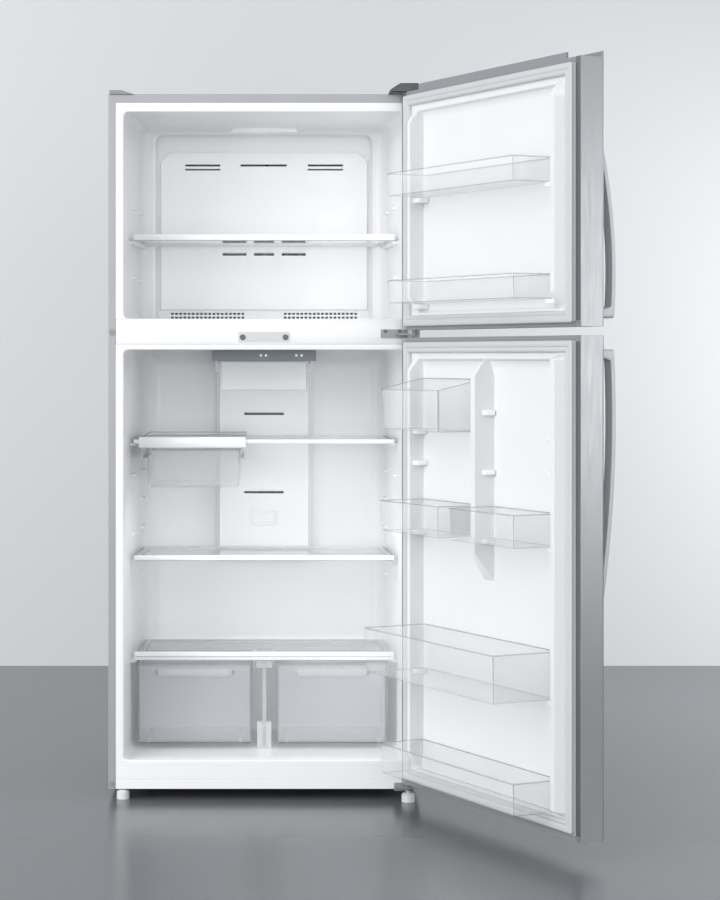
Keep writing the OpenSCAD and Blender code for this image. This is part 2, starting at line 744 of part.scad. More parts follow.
module fridge_door_liner() {
    color("white") swing() union() {
        liner_base(fridge_door_z, fridge_seal_z);
        lugs([896, 822, 660, 334], 270);
        rib();
        for (z = [896, 813, 660])
            block([rib_crest, door_floor + 8, z - 12], [rib_half + 7, 6, z - slide_gap]);
        for (z = [946, 813, 660])
            block([-rib_half - 7, door_floor + 8, z - 12], [-rib_crest, 6, z - slide_gap]);
    }
}
module gasket(seal) {
    w = gasket_out - gasket_in - 1;
    color("lightgray") swing() difference() {
        block([-gasket_out, door_back + 0.02, seal[0]], [gasket_out, -0.4, seal[1]]);
        block([-gasket_out + w, -20, seal[0] + w], [gasket_out - w, 1, seal[1] - w]);
        difference() {
            block([-gasket_out - 1, -9, seal[0] - 1], [gasket_out + 1, -5, seal[1] + 1]);
            block([-gasket_out + 4, -10, seal[0] + 4], [gasket_out - 4, -4, seal[1] - 4]);
        }
    }
}
// Bowed strap: stands off most at its blunt end and runs into the door at the far end
function bow(t) = handle_out * (t < 0.25 ? 1 - 0.10 * pow(1 - t / 0.25, 2) : pow(cos((t - 0.25) * 120), 0.8));
module handle_strap(z_blunt, z_end) {
    n = 26;
    thick = 11;
    z_foot = z_blunt + sign(z_end - z_blunt) * 18;
    face = door_front - crown_at(handle_x) - 0.5;
    outer = [for (i = [0:n]) [face - max(bow(i / n), 3), z_blunt + (z_end - z_blunt) * i / n]];
    inner = [for (i = [n:-1:0]) [min(face, face - max(bow(i / n), 3) + thick),
        z_blunt + (z_end - z_blunt) * i / n]];
    color("silver") swing() union() {
        translate([handle_x - handle_half, 0, 0]) rotate([90, 0, 90])
            linear_extrude(2 * handle_half) polygon(concat(outer, inner));
        block([handle_x - handle_half, face - handle_out * 0.9, min(z_blunt, z_foot)],
            [handle_x + handle_half, face, max(z_blunt, z_foot)]);
    }
}
module freezer_door_panel() {
    color("silver") swing() union() {
        door_panel(freezer_door_z);
        intersection() {
            translate([0, 0, freezer_door_z[1] - 1]) linear_extrude(lip_z - freezer_door_z[1] + 1)
                difference() {
                    door_outline(0);
                    door_outline(sheet);
                }
            block([-door_half, door_front - 9, 0], [lip_end, door_front + 8, 2000]);
        }
    }
}
module freezer_door_caps() {
    color("dimgray") swing() union() {
        door_caps(freezer_door_z);
        front_lip();
        block([rear_lip_x[0], door_back - 6, freezer_door_z[1] - 1],
            [rear_lip_x[1], door_back - sheet - 0.1, lip_z]);
    }
}
module freezer_door_insulation() {
    door_insulation(freezer_door_z, freezer_seal_z);
}
module freezer_gasket() {
    gasket(freezer_seal_z);
}
module freezer_handle() {
    handle_strap(1147, 1544);
}
module fridge_door_panel() {
    color("silver") swing() door_panel(fridge_door_z);
}
module fridge_door_caps() {
    color("dimgray") swing() door_caps(fridge_door_z);
}
module fridge_door_insulation() {
    door_insulation(fridge_door_z, fridge_seal_z);
}
module fridge_gasket() {
    gasket(fridge_seal_z);
}
module fridge_handle() {
    handle_strap(1081, 491);
}

cabinet_shell();
rear_panel();
base_pan();
cabinet_insulation();
freezer_liner();
fridge_liner();
crossbar();
crossbar_plate();
base_panel();
screws();
trim_plugs();
evaporator_cover();
evaporator_coil();
air_duct();
control_panel();
lamps();
compressor();
condenser_coil();
compressor_cover();
fan_motors();
evaporator_fan();
condenser_fan();
top_hinge();
hinge_cover();
middle_hinge();
bottom_hinge();
crisper_divider();
left_foot();
right_foot();
rear_rollers();
freezer_shelf_frame();
freezer_shelf_glass();
upper_shelf_frame();
upper_shelf_glass();
lower_shelf_frame();
lower_shelf_glass();
crisper_cover_frame();
crisper_cover_glass();
deli_drawer();
left_crisper();
right_crisper();
freezer_door_panel();
freezer_door_caps();
freezer_door_insulation();
freezer_door_liner();
freezer_gasket();
freezer_handle();
fridge_door_panel();
fridge_door_caps();
fridge_door_insulation();
fridge_door_liner();
fridge_gasket();
fridge_handle();
freezer_upper_bin();
freezer_lower_bin();
dairy_bin();
left_half_bin();
right_half_bin();
gallon_bin();
bottom_bin();
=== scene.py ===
"""Looks of a top freezer refrigerator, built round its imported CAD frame. Units are metres."""
import json
import math

import bmesh
import bpy
from mathutils import Matrix, Vector

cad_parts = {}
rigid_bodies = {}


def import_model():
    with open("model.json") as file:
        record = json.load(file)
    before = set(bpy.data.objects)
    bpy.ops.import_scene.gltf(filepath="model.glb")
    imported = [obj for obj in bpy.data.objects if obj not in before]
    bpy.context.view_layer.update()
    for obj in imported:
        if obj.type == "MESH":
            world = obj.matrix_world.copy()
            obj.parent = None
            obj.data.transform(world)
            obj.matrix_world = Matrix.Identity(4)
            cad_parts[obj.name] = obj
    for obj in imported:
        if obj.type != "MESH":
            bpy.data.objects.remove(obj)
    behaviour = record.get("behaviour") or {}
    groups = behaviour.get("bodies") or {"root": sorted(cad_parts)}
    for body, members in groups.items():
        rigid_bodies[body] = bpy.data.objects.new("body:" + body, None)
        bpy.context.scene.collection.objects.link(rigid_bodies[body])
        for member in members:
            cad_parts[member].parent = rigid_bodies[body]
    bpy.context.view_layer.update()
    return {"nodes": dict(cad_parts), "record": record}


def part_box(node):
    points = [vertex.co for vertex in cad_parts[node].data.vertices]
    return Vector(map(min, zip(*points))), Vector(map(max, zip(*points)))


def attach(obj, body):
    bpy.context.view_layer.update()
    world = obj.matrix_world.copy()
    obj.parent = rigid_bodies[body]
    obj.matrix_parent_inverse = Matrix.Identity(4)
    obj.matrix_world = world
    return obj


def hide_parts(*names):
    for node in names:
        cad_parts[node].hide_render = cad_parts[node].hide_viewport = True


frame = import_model()
NODES = frame["nodes"]
JOINTS = {joint["name"]: joint for joint in frame["record"]["behaviour"]["joints"]}

# Camera: level, straight on, with the framing set by shift
CAMERA_AT = (0.0, -5.398, 1.0654)
SENSOR = 36.0
LENS = 89.7
SHIFT = (0.1066, -0.1037)

# Door hinge line and the angle the doors stand at in the stored rest pose
HINGE = JOINTS["fridge_door_hinge"]
PIVOT = Vector(HINGE["pos_m"])
OPEN = math.radians(-HINGE["range_deg"][0])
SWING = (Matrix.Translation(PIVOT) @ Matrix.Rotation(OPEN, 4, "Z")
         @ Matrix.Translation(-PIVOT))


# ---------------------------------------------------------------- materials
def material(name, base, rough, metal=0.0, coat=0.0, alpha=1.0, specular=0.5):
    """A Principled material with its constants on the shader's own sockets."""
    mat = bpy.data.materials.new(name)
    mat.use_nodes = True
    bsdf = mat.node_tree.nodes["Principled BSDF"]
    bsdf.inputs["Base Color"].default_value = (*base, 1)
    bsdf.inputs["Roughness"].default_value = rough
    bsdf.inputs["Metallic"].default_value = metal
    bsdf.inputs["Coat Weight"].default_value = coat
    bsdf.inputs["Coat Roughness"].default_value = 0.12
    bsdf.inputs["Alpha"].default_value = alpha
    bsdf.inputs["Specular IOR Level"].default_value = specular
    return mat


def add(mat, kind, **values):
    """A new shader node; values are its attributes or, failing that, its input sockets."""
    node = mat.node_tree.nodes.new(kind)
    for key, value in values.items():
        if hasattr(node, key):
            setattr(node, key, value)
        else:
            node.inputs[key.replace("_", " ")].default_value = value
    return node


def link(mat, out, target):
    """Joins one node's output to another's input."""
    mat.node_tree.links.new(out, target)


def grain(mat, stretch, scale, low, high, bump=0.0, distance=0.0002, detail=4.0):
    """Noise stretched by `stretch` drives roughness from low to high, and a fine bump."""
    bsdf = mat.node_tree.nodes["Principled BSDF"]
    coords = add(mat, "ShaderNodeTexCoord")
    mapping = add(mat, "ShaderNodeMapping")
    mapping.inputs["Scale"].default_value = stretch
    noise = add(mat, "ShaderNodeTexNoise", Scale=scale, Detail=detail, Roughness=0.6)
    spread = add(mat, "ShaderNodeMapRange")
    spread.inputs["From Min"].default_value = 0.3
    spread.inputs["From Max"].default_value = 0.7
    spread.inputs["To Min"].default_value = low
    spread.inputs["To Max"].default_value = high
    link(mat, coords.outputs["Object"], mapping.inputs["Vector"])
    link(mat, mapping.outputs["Vector"], noise.inputs["Vector"])
    link(mat, noise.outputs["Fac"], spread.inputs["Value"])
    link(mat, spread.outputs["Result"], bsdf.inputs["Roughness"])
    if bump:
        node = add(mat, "ShaderNodeBump", Strength=bump, Distance=distance)
        link(mat, noise.outputs["Fac"], node.inputs["Height"])
        link(mat, node.outputs["Normal"], bsdf.inputs["Normal"])
    return noise


def tone(mat, first, second, scale, detail=3.0):
    """Large soft variation between two colours."""
    bsdf = mat.node_tree.nodes["Principled BSDF"]
    coords = add(mat, "ShaderNodeTexCoord")
    noise = add(mat, "ShaderNodeTexNoise", Scale=scale, Detail=detail)
    ramp = add(mat, "ShaderNodeValToRGB")
    ramp.color_ramp.elements[0].position = 0.35
    ramp.color_ramp.elements[1].position = 0.65
    ramp.color_ramp.elements[0].color = (*first, 1)
    ramp.color_ramp.elements[1].color = (*second, 1)
    link(mat, coords.outputs["Object"], noise.inputs["Vector"])
    link(mat, noise.outputs["Fac"], ramp.inputs["Fac"])
    link(mat, ramp.outputs["Color"], bsdf.inputs["Base Color"])


def moulded(name, base, rough, spread=0.06, bump=0.02, scale=900.0, **extra):
    """Injection moulded plastic: even colour, faint mottled gloss, smooth where it is clear."""
    mat = material(name, base, rough, **extra)
    tone(mat, [c * 0.985 for c in base], base, 6.0)
    if extra.get("alpha", 1.0) < 1.0:
        bump = 0.0
    grain(mat, (1, 1, 1), scale, rough - spread, rough + spread, bump, 0.0001)
    return mat


def brushed(name, base, rough, stretch, metal=0.9):
    """Brushed steel with its grain along the axis of the smallest stretch."""
    mat = material(name, base, rough, metal)
    tone(mat, [c * 0.95 for c in base], base, 2.5)
    grain(mat, stretch, 700.0, rough - 0.06, rough + 0.08, 0.03, 0.00003, 3.0)
    return mat


def painted(name, base, rough, metal=0.35, coat=0.3):
    """Metallic paint with a fine orange peel."""
    mat = material(name, base, rough, metal, coat)
    tone(mat, [c * 0.97 for c in base], base, 3.0)
    grain(mat, (1, 1, 1), 420.0, rough - 0.05, rough + 0.06, 0.04, 0.0001)
    return mat


def make_materials():
    """Every finish by name: the record's slots first, then those made here only."""
    return {
        "cabinet_paint": painted("cabinet_paint", (0.36, 0.365, 0.38), 0.42, 0.2, 0.15),
        "zinc_steel": painted("zinc_steel", (0.42, 0.43, 0.44), 0.5),
        "foam": moulded("foam", (0.85, 0.76, 0.45), 0.9, bump=0.4, scale=220.0),
        "white_liner": moulded("white_liner", (0.90, 0.905, 0.91), 0.3, coat=0.1),
        "shelf_trim": moulded("shelf_trim", (0.88, 0.90, 0.91), 0.2, coat=0.2),
        "plate_grey": moulded("plate_grey", (0.62, 0.63, 0.64), 0.35),
        "screw_metal": brushed("screw_metal", (0.13, 0.13, 0.135), 0.4, (1, 1, 1), 0.5),
        "aluminium_fins": brushed("aluminium_fins", (0.75, 0.76, 0.77), 0.35, (1, 1, 0.1)),
        "black_paint": painted("black_paint", (0.02, 0.02, 0.022), 0.3, 0.0, 0.5),
        "control_grey": moulded("control_grey", (0.16, 0.18, 0.21), 0.35),
        "lamp_lens": moulded("lamp_lens", (0.93, 0.95, 0.97), 0.35),
        "fan_plastic": moulded("fan_plastic", (0.04, 0.04, 0.045), 0.45),
        "hinge_metal": brushed("hinge_metal", (0.24, 0.245, 0.255), 0.4, (1, 0.1, 1), 0.6),
        "dark_plastic": moulded("dark_plastic", (0.07, 0.075, 0.08), 0.4, bump=0.1),
        "foot_plastic": moulded("foot_plastic", (0.72, 0.72, 0.72), 0.4),
        "door_steel": brushed("door_steel", (0.41, 0.415, 0.43), 0.36, (1, 1, 0.02), 0.8),
        "handle_steel": brushed("handle_steel", (0.60, 0.61, 0.63), 0.45, (1, 1, 0.02), 0.35),
        "gasket_rubber": moulded("gasket_rubber", (0.58, 0.59, 0.60), 0.55, bump=0.05),
        "shelf_glass": moulded("shelf_glass", (0.84, 0.89, 0.885), 0.06, 0.02, 0.0, alpha=0.14),
        "clear_plastic": moulded("clear_plastic", (0.96, 0.97, 0.98), 0.1, 0.03, 0.0,
                                 alpha=0.15, specular=0.7),
        "cap_plastic": moulded("cap_plastic", (0.26, 0.27, 0.285), 0.4, bump=0.1),
        "crisper_plastic": moulded("crisper_plastic", (0.86, 0.88, 0.91), 0.12, 0.03, 0.0,
                                   alpha=0.24, specular=0.6),
        # painted shade: a darker copy of clear plastic for rims, feet and corners seen edge on
        "clear_painted_shade": moulded("clear_painted_shade", (0.42, 0.44, 0.46), 0.12, 0.03, 0.0,
                              alpha=0.5, specular=0.6),
        "clear_rail": moulded("clear_rail", (0.86, 0.88, 0.89), 0.15, 0.03, 0.0,
                              alpha=0.4, specular=0.6),
        # painted shade: dark lines along clear edges and in the gap under each crisper
        "painted_shade_line": moulded("painted_shade_line", (0.20, 0.21, 0.22), 0.3, 0.03, alpha=0.7),
        "plug_grey": moulded("plug_grey", (0.27, 0.275, 0.28), 0.4),
        # painted shade: a darker copy of the door steel for the shadow gap at the door's returns
        "painted_shade_steel": brushed("painted_shade_steel", (0.17, 0.175, 0.185), 0.4, (1, 1, 0.02), 0.5),
        "door_liner": moulded("door_liner", (0.91, 0.915, 0.92), 0.3, coat=0.1),
    }


MATERIALS = make_materials()

# CAD nodes whose finish differs from the rest of their slot
OWN_MATERIAL = {"freezer_door_caps": "cap_plastic", "fridge_door_caps": "cap_plastic",
                "trim_plugs": "plug_grey", "crisper_divider": "clear_rail"}


def dress_cad():
    """Gives every CAD node its slot's material."""
    for part in frame["record"]["subparts"]:
        obj = NODES[part["node"]]
        mat = MATERIALS[OWN_MATERIAL.get(part["node"], part["material_slot"])]
        if not obj.data.materials:
            obj.data.materials.append(mat)
        for slot in obj.material_slots:
            slot.link = "OBJECT"
            slot.material = mat


# ---------------------------------------------------------------- mesh helpers, in millimetres
MM = 0.001
PIECE_WELD_M = 2e-6
BEVEL_ANGLE = 40
BEVEL_SEGMENTS = 2


def closed_box(name):
    """Lowest and highest corner of a CAD node in mm, with the doors turned shut."""
    shut = SWING.inverted()
    points = [shut @ v.co for v in NODES[name].data.vertices]
    return [[pick(p[i] for p in points) / MM for i in range(3)] for pick in (min, max)]


def cad_box(name):
    """Lowest and highest corner of a CAD node in mm, where it stands."""
    return [[value / MM for value in corner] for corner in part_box(name)]


def piece(name, shape, slot, body, replaced=(), swung=False, bevel=0.0, sharp=35):
    """One smooth-shaded mesh object that rides on a body and takes a slot's finish."""
    verts, faces = shape
    mesh = bpy.data.meshes.new(name)
    mesh.from_pydata([Vector(v) * MM for v in verts], [], faces)
    if swung:
        mesh.transform(SWING)
    bm = bmesh.new()
    bm.from_mesh(mesh)
    bmesh.ops.remove_doubles(bm, verts=bm.verts, dist=PIECE_WELD_M)
    bmesh.ops.recalc_face_normals(bm, faces=bm.faces)
    bm.to_mesh(mesh)
    bm.free()
    mesh.polygons.foreach_set("use_smooth", [True] * len(mesh.polygons))
    mesh.set_sharp_from_angle(angle=math.radians(sharp))
    mesh.materials.append(MATERIALS[slot])
    obj = bpy.data.objects.new(name, mesh)
    bpy.context.scene.collection.objects.link(obj)
    if bevel:
        add_bevel(obj, bevel)
    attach(obj, body)
    if replaced:
        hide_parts(*replaced)
    return obj


def add_bevel(obj, width):
    """Rounds the hard edges, by `width` mm."""
    modifier = obj.modifiers.new("rounding", "BEVEL")
    modifier.width = width * MM
    modifier.segments = BEVEL_SEGMENTS
    modifier.limit_method = "ANGLE"
    modifier.angle_limit = math.radians(BEVEL_ANGLE)
    even = obj.modifiers.new("even_faces", "WEIGHTED_NORMAL")
    even.weight = 90


def merge(*shapes):
    """Several (verts, faces) shapes as one."""
    verts, faces = [], []
    for shape in shapes:
        start = len(verts)
        verts += shape[0]
        faces += [tuple(i + start for i in face) for face in shape[1]]
    return verts, faces


def loft(rings, first=True, last=True):
    """Skin over rings of equal length, closed at either end where asked."""
    count = len(rings[0])
    verts = [p for ring in rings for p in ring]
    faces = []
    for i in range(len(rings) - 1):
        for j in range(count):
            k = (j + 1) % count
            faces.append((i * count + j, i * count + k, (i + 1) * count + k, (i + 1) * count + j))
    if first:
        faces.append(tuple(reversed(range(count))))
    if last:
        faces.append(tuple((len(rings) - 1) * count + j for j in range(count)))
    return verts, faces


def outline(u0, u1, v0, v1, radii, steps=5):
    """Rectangle with its four corner radii, starting at (u0, v0), counter clockwise."""
    corners = ((u0, v0, 1, 1, 180), (u1, v0, -1, 1, 270), (u1, v1, -1, -1, 0), (u0, v1, 1, -1, 90))
    points = []
    for (u, v, du, dv, start), r in zip(corners, radii):
        for i in range(steps + 1):
            a = math.radians(start + 90 * i / steps)
            points.append((u + du * r + r * math.cos(a), v + dv * r + r * math.sin(a)))
    return points


def bar(a, b, r=1.5):
    """Box from corner a to corner b with its edges along Y rounded and its ends eased."""
    rings = []
    for y, inset in ((a[1], r), (a[1] + r * 0.3, r * 0.3), (a[1] + r, 0),
                     (b[1] - r, 0), (b[1] - r * 0.3, r * 0.3), (b[1], r)):
        flat = outline(a[0] + inset, b[0] - inset, a[2] + inset, b[2] - inset,
                       [max(r - inset * 0.7, 0.2)] * 4, 3)
        rings.append(along_y(y, flat))
    return loft(rings)


def mirror_x(shape):
    """The shape on the other side of the middle, with its faces still turned outwards."""
    verts, faces = shape
    return [(-x, y, z) for x, y, z in verts], [tuple(reversed(face)) for face in faces]


def both_sides(shapes):
    """The shapes together with their mirror images."""
    return merge(*shapes, *[mirror_x(shape) for shape in shapes])


def along_y(y, flat):
    """A ring of (x, z) points set at depth y."""
    return [(u, y, v) for u, v in flat]


# ---------------------------------------------------------------- cabinet interior
OPEN_HALF, NARROWING = 338.0, 22.0 / 520.0
FLANGE_HALF = 357
OPENING_RADIUS, BACK_RADIUS = 12, 24
FREEZER_FLOOR, FREEZER_CEILING = 1157, 1655
FRIDGE_FLOOR, FRIDGE_CEILING = 94, 1082

# Depth and height of the step over the compressor room, and its rounded section
ROOM_STEP = (410, 290)
STEP_FOOT = ((-16, 0), (-7, 2), (-1.5, 9), (0, 20))
STEP_HEAD = ((0, -14), (1.5, -5), (6, -1), (14, 0))

# Shelf ledges and the small studs that hold a shelf down
LEDGE_REACH, STUD_REACH = 15, 7
FREEZER_LEDGE, FRIDGE_LEDGE = (150, 436), (165, 500)
FREEZER_STUDS = [(z, y, y + 46) for z in (1266, 1440) for y in (200, 390)]
FRIDGE_STUDS = [(z, 200, 250) for z in (626, 772)] + [(z, 430, 490) for z in (504, 626, 699, 772)]
UPPER_LEDGE_RISE = 39

# The crispers' runners: places across, and their extent in Y and in Z
RUNNERS_X, RUNNER_HALF, RUNNER_Y, RUNNER_Z = (-290, -60, 56, 290), 4, (240, 408), (92, 107)


def inside(y):
    """Half width of a compartment at depth y."""
    return OPEN_HALF - NARROWING * y


def cavity(z0, z1, back, flange, step=None, fillet=24.0):
    """Moulded liner: front flange, eased opening, tapered walls, filleted back."""
    rings = [along_y(0.0, outline(-FLANGE_HALF, FLANGE_HALF, flange[0], flange[1], [2.0] * 4, 6))]

    def ring(y, inset, radius, low=z0):
        half = inside(y) - inset
        radii = [max(radius - inset * 0.5, 1.0)] * 4
        rings.append(along_y(y, outline(-half, half, low + inset, z1 - inset, radii, 6)))

    def wall(y, low=z0):
        ring(y, 0, OPENING_RADIUS + (BACK_RADIUS - OPENING_RADIUS) * y / back, low)

    for y, inset in ((0.0, -3.0), (0.3, -1.6), (1.2, -0.5), (3.0, 0.0)):
        ring(y, inset, OPENING_RADIUS)
    for y in (60, 150, 250, 350):
        wall(y)
    low = z0
    if step:
        depth, low = step
        for dy, dz in STEP_FOOT:
            wall(depth + dy, z0 + dz)
        for dy, dz in STEP_HEAD:
            wall(depth + dy, low + dz)
    for i in range(7):
        a = math.radians(15 * i)
        inset = fillet * (1 - math.cos(a))
        ring(back - fillet + fillet * math.sin(a), inset, BACK_RADIUS, low)
    return loft(rings, first=False)


def soft_corner(z0, z1, back, r):
    """Wide fillet from the side walls and ceiling into a flat cover at depth `back`."""
    rings = []
    for i in range(9):
        a = math.radians(90 * i / 8)
        y, inset = back - r + r * math.sin(a), r * (1 - math.cos(a)) - 0.4
        half = inside(y) - inset
        flat = outline(-half, half, z0 - 1, z1 - inset * 0.35, [1, 1, 20, 20], 6)
        rings.append(along_y(y, flat))
    return loft(rings, False, False)


def wall_ledge(z, y0, y1, reach, height=7.0):
    """Rounded ledge that follows the left wall."""
    rings = []
    soft = min(6.0, reach * 0.6)
    for y, out in ((y0, 0.4), (y0 + soft * 0.3, reach * 0.7), (y0 + soft, reach),
                   (y1 - soft, reach), (y1 - soft * 0.3, reach * 0.7), (y1, 0.4)):
        wall = -inside(y) - 1.0
        flat = outline(wall, wall + out + 1.0, z - height - 0.3, z - 0.3, [0.2, 1.8, 1.2, 0.2], 3)
        rings.append(along_y(y, flat))
    return loft(rings)


def make_cavities():
    """The two moulded compartments, and the freezer's corners round its evaporator cover."""
    for name, floor, ceiling, rest in (
            ("freezer", FREEZER_FLOOR, FREEZER_CEILING, ()),
            ("fridge", FRIDGE_FLOOR, FRIDGE_CEILING, (ROOM_STEP, 40))):
        low, high = cad_box(name + "_liner")
        shape = cavity(floor, ceiling, high[1] - 2.5, (low[2], high[2]), *rest)
        piece(name + "_cavity", shape, "white_liner", "cabinet", (name + "_liner",), sharp=60)
    corner = soft_corner(FREEZER_FLOOR, FREEZER_CEILING, cad_box("evaporator_cover")[0][1], 38)
    piece("freezer_corner", corner, "white_liner", "cabinet", sharp=60)


def make_ledges():
    """Ledges under each shelf frame, studs at the walls, and the crispers' runners."""
    ledges = [wall_ledge(cad_box("freezer_shelf_frame")[0][2], *FREEZER_LEDGE, LEDGE_REACH)]
    ledges += [wall_ledge(*stud, STUD_REACH) for stud in FREEZER_STUDS]
    piece("freezer_ledges", both_sides(ledges), "white_liner", "cabinet")
    levels = [cad_box("lower_shelf_frame")[0][2], cad_box("crisper_cover_frame")[0][2],
              cad_box("upper_shelf_frame")[0][2] + UPPER_LEDGE_RISE]
    ledges = [wall_ledge(z, *FRIDGE_LEDGE, LEDGE_REACH) for z in levels]
    ledges += [wall_ledge(*stud, STUD_REACH) for stud in FRIDGE_STUDS]
    runners = [bar((x - RUNNER_HALF, RUNNER_Y[0], RUNNER_Z[0]),
                   (x + RUNNER_HALF, RUNNER_Y[1], RUNNER_Z[1])) for x in RUNNERS_X]
    piece("fridge_ledges", merge(both_sides(ledges), *runners), "white_liner", "cabinet")


# ---------------------------------------------------------------- clear trays
def tray(x0, x1, y0, y1, z0, z1, front, back, wall=2.6, draft=3.0, foot=7.0, rim=2.0, band=5.0,
         top=None):
    """Open moulded tray. front and back are the corner radii at y0 and y1."""
    rings = []

    def ring(z, inset):
        r0, r1 = max(front - inset, 1.0), max(back - inset, 1.0)
        flat = outline(x0 + inset, x1 - inset, y0 + inset, y1 - inset, [r0, r0, r1, r1], 6)
        height = (z - z0) / (z1 - z0)
        rings.append([(u, v, z0 + height * ((top(v) if top else z1) - z0)) for u, v in flat])

    for z, inset in ((z0, draft + foot), (z0 + foot * 0.12, draft + foot * 0.5),
                     (z0 + foot * 0.5, draft + foot * 0.12), (z0 + foot, draft)):
        ring(z, rim + inset)
    for z, inset in ((z1 - band, rim), (z1 - band, 0.3), (z1 - 0.8, 0.0), (z1, 0.8),
                     (z1, rim + wall - 0.8), (z1 - 0.8, rim + wall)):
        ring(z, inset)
    for z, inset in ((z0 + wall + foot, draft), (z0 + wall + foot * 0.5, draft + foot * 0.12),
                     (z0 + wall + foot * 0.12, draft + foot * 0.5), (z0 + wall, draft + foot)):
        ring(z, rim + wall + inset)
    return loft(rings)


def paint_rim_shade(obj, low, high, swung=False):
    """Gives rim, foot and upright corners a darker copy of the clear plastic: painted shade for the
    dark look of clear plastic seen edge on.
    """
    obj.data.materials.append(MATERIALS["clear_painted_shade"])
    shut = SWING.inverted() if swung else Matrix.Identity(4)
    for face in obj.data.polygons:
        normal = shut.to_3x3() @ face.normal
        edge = high((shut @ face.center).y / MM) if callable(high) else high
        flat, upright = abs(normal.z) >= 0.98, abs(normal.z) < 0.3
        rim = face.center.z > edge * MM
        foot = face.center.z < low * MM and not flat
        corner = upright and abs(abs(normal.x) - abs(normal.y)) < 0.2
        if rim or foot or corner:
            face.material_index = 1


def make_bin(name, radius, foot, drop=0.0):
    """A door bin; its rim falls by `drop` from the door to its front."""
    (x0, y0, z0), (x1, y1, z1) = closed_box(name)

    def top(y):
        return z1 - drop * (y - y0) / (y1 - y0)

    shape = tray(x0, x1, -y1, -y0, z0, z1, radius, 3.0, foot=foot, band=2.6, top=lambda v: top(-v))
    verts = [(x, -y, z) for x, y, z in shape[0]]
    obj = piece(name + "_moulding", (verts, shape[1]), "clear_plastic", name, (name,), True)
    paint_rim_shade(obj, z0 + foot * 0.45, lambda y: top(y) - 2.8, True)
    return obj


def make_bins():
    """The seven bins of the two doors; only the dairy bin's rim slopes."""
    for name in ("freezer_upper_bin", "freezer_lower_bin", "left_half_bin", "right_half_bin"):
        make_bin(name, 8, 4)
    for name in ("gallon_bin", "bottom_bin"):
        make_bin(name, 9, 5)
    make_bin("dairy_bin", 14, 5, 26.0)


# Levels of the flanges that the deli drawer hangs by
HANGING_FLANGE = (815.5, 818.0)

# A crisper's grip: how far it stands out, its top, and its section from that edge
GRIP_REACH, GRIP_TOP = 8, 293
GRIP = ((1, 0), (-5, -1), (-7.4, -3.5), (-8, -8), (-8, -17), (-7, -18.6), (-5.6, -17), (-5.4, -8),
        (-4, -4.4), (1, -3))


def make_deli_drawer():
    """Tray with a flange along each side."""
    (x0, y0, z0), (x1, y1, z1) = cad_box("deli_drawer")
    low, high = HANGING_FLANGE
    drawer = merge(tray(x0 + 6.5, x1 - 6.5, y0, y1, z0, z1, 8, 4, foot=8),
                   bar((x0, y0 + 8, low), (x0 + 8, y1 - 1, high), 0.8),
                   bar((x1 - 8, y0 + 8, low), (x1, y1 - 1, high), 0.8))
    obj = piece("deli_drawer_moulding", drawer, "clear_plastic", "deli_drawer", ("deli_drawer",))
    paint_rim_shade(obj, z0 + 0.9, z1 - 5.2)


def crisper_grip(x0, x1, y):
    """Turned-down grip along a drawer front at depth y, fading out towards both ends."""
    middle = GRIP_TOP - 4
    rings = []
    for x, fade in ((x0 + 46, 0.9), (x0 + 52, 0.3), (x0 + 62, 0.0),
                    (x1 - 62, 0.0), (x1 - 52, 0.3), (x1 - 46, 0.9)):
        rings.append([(x, (y + out) * (1 - fade) + (y + 1) * fade,
                       middle + (GRIP_TOP + up - middle) * (1 - fade * 0.5)) for out, up in GRIP])
    return loft(rings)


def make_crisper(name):
    """Deep drawer with a grip, and a dark strip along its base edge as painted shade of the gap
    beneath it.
    """
    (x0, y0, z0), (x1, y1, z1) = cad_box(name)
    y0 += GRIP_REACH
    drawer = merge(tray(x0, x1, y0, y1, z0, z1, 10, 4, draft=1.0, foot=5, rim=1.4),
                   crisper_grip(x0, x1, y0))
    obj = piece(name + "_moulding", drawer, "crisper_plastic", name, (name,))
    paint_rim_shade(obj, z0 + 1.4, z1 - 5.2)
    # Painted shade: a dark strip at the base edge for the gap beneath the drawer
    base = bar((x0 + 6, y0 - 0.3, z0 + 0.2), (x1 - 6, y0 + 4, z0 + 2.2), 0.4)
    piece(name + "_base_line", base, "painted_shade_line", name)


# ---------------------------------------------------------------- shelves
SHELVES = ("freezer_shelf", "upper_shelf", "lower_shelf", "crisper_cover")

# A frame stands out from its glass by these; the front bar, its side and rear rails
GLASS_LAP = {"down": 3.05, "front": 9.05, "back": 8.05}
BAR_FRONT, BAR_DEPTH, RAIL_WIDE, RAIL_HIGH = 4, 14, 16, 9

# Where the upper shelf carries the deli drawer
HANGER_LOW, HANGER_BACK = 812, 445
FASCIA = (841, 867)


def shelf_half(y):
    """Half width of a shelf at depth y."""
    return 322 - 12 * (y - 140) / 352


def shelf_strip(y0, y1, inner, outer, z0, z1):
    """Strip along the left edge of a shelf, measured in from that edge."""
    return loft([along_y(y, outline(-shelf_half(y) + outer, -shelf_half(y) + inner, z0, z1,
                                    [0.5] * 4, 2)) for y in (y0, y1)])


def deli_hanger(z, front, back):
    """The upper shelf's fascia, its clear hangers, and dark lines of painted shade along their
    edges.
    """
    deli = cad_box("deli_drawer")
    left, right = deli[0][0] - 0.5, deli[1][0] + 0.5
    low = HANGER_LOW
    fascia = bar((left - 10, front - 10, FASCIA[0]), (right + 5, front - 3.9, FASCIA[1]), 1.5)
    clear = [bar((x, front - 4, low), (x + 2, HANGER_BACK, z + 0.1), 0.5)
             for x in (left - 3, right + 1)]
    clear += [bar((left - 1, front + 20, low), (left + 6, HANGER_BACK, low + 3), 0.5),
              bar((right - 6, front + 20, low), (right + 1, HANGER_BACK, low + 3), 0.5)]
    lines = [bar((left, back - 8, v), (right + 5, back - 4, v + 1.3), 0.4)
             for v in (z + 9.4, z + 16.8)]
    lines.append(bar((left - 1, front + 6, z + 15.6), (left + 0.6, back - 6, z + 17.6), 0.3))
    return fascia, clear, lines


